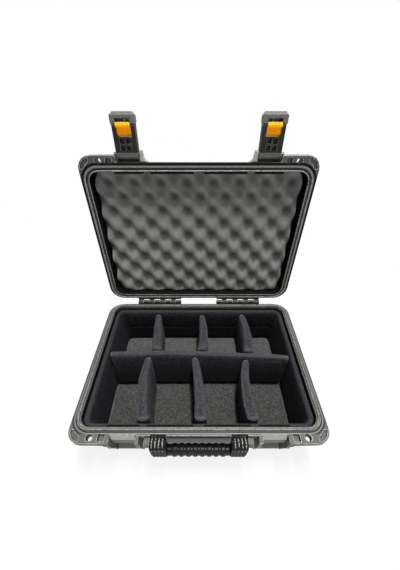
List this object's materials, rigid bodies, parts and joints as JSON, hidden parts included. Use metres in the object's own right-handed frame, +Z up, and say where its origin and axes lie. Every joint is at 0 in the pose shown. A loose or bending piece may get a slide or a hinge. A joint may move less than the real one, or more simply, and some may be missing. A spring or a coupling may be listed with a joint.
{
  "type": "hard carrying case",
  "caption": "Open rigid carrying case with sealed lid, egg-crate lid foam, padded dividers, over-centre latches with release levers and a folding handle.",
  "frame": {"origin": "on the flat underside of the base, midway across the width and midway along the rim from front to back", "axes": "+Z up, +Y from the handle towards the hinges, +X to the right of someone facing the handle"},
  "size_m": [0.47, 0.4505, 0.5343],
  "materials": {
    "shell_plastic": "charcoal moulded plastic, fine satin grain",
    "lid_plastic": "charcoal moulded plastic, fine satin grain",
    "seal_rubber": "black hollow-section seal, matt",
    "foam_grey": "open-cell grey foam with a convoluted face",
    "liner_fabric": "near-black brushed loop fabric over foam",
    "floor_felt": "speckled dark grey felt over foam",
    "divider_fabric": "near-black brushed loop fabric over foam",
    "pin_steel": "drawn steel pin",
    "latch_plastic": "dark grey moulded plastic",
    "lever_orange": "orange moulded plastic, semi-gloss",
    "spring_steel": "bright spring wire",
    "handle_plastic": "black moulded plastic, semi-gloss",
    "grip_rubber": "black soft over-moulding, semi-gloss"
  },
  "bodies": {
    "base": {"base_shell": "shell_plastic", "wall_liner": "liner_fabric", "floor_pad": "floor_felt", "long_divider": "divider_fabric", "back_divider_left": "divider_fabric", "back_divider_middle": "divider_fabric", "back_divider_right": "divider_fabric", "front_divider_left": "divider_fabric", "front_divider_middle": "divider_fabric", "front_divider_right": "divider_fabric", "hinge_pin_left": "pin_steel", "hinge_pin_right": "pin_steel", "handle_pin_left": "pin_steel", "handle_pin_right": "pin_steel"},
    "lid": {"lid_shell": "lid_plastic", "lid_gasket": "seal_rubber", "lid_foam": "foam_grey", "latch_pin_left": "pin_steel", "latch_pin_right": "pin_steel"},
    "latch_left": {"latch_body_left": "latch_plastic", "lever_pin_left": "pin_steel", "lever_spring_left": "spring_steel"},
    "latch_right": {"latch_body_right": "latch_plastic", "lever_pin_right": "pin_steel", "lever_spring_right": "spring_steel"},
    "lever_left": {"release_lever_left": "lever_orange"},
    "lever_right": {"release_lever_right": "lever_orange"},
    "handle": {"handle_frame": "handle_plastic", "handle_grip": "grip_rubber"}
  },
  "joints": [
    {"name": "lid_hinge", "type": "hinge", "parent": "base", "child": "lid", "pos_m": [0, 0.18, 0.1234], "axis": [1, 0, 0], "range_deg": [0, 97]},
    {"name": "latch_left_pivot", "type": "hinge", "parent": "lid", "child": "latch_left", "pos_m": [-0.136, 0.23819, 0.46606], "axis": [1, 0, 0], "range_deg": [0, 90]},
    {"name": "latch_right_pivot", "type": "hinge", "parent": "lid", "child": "latch_right", "pos_m": [0.136, 0.23819, 0.46606], "axis": [1, 0, 0], "range_deg": [0, 90]},
    {"name": "lever_left_pivot", "type": "hinge", "parent": "latch_left", "child": "lever_left", "pos_m": [-0.136, 0.2428, 0.50358], "axis": [-1, 0, 0], "range_deg": [0, 25], "stiffness_Nm_per_rad": 0.05, "springref_deg": -11.46, "deforming": ["lever_spring_left"]},
    {"name": "lever_right_pivot", "type": "hinge", "parent": "latch_right", "child": "lever_right", "pos_m": [0.136, 0.2428, 0.50358], "axis": [-1, 0, 0], "range_deg": [0, 25], "stiffness_Nm_per_rad": 0.05, "springref_deg": -11.46, "deforming": ["lever_spring_right"]},
    {"name": "handle_pivot", "type": "hinge", "parent": "base", "child": "handle", "pos_m": [0, -0.1659, 0.113], "axis": [-1, 0, 0], "range_deg": [0, 110]}
  ]
}
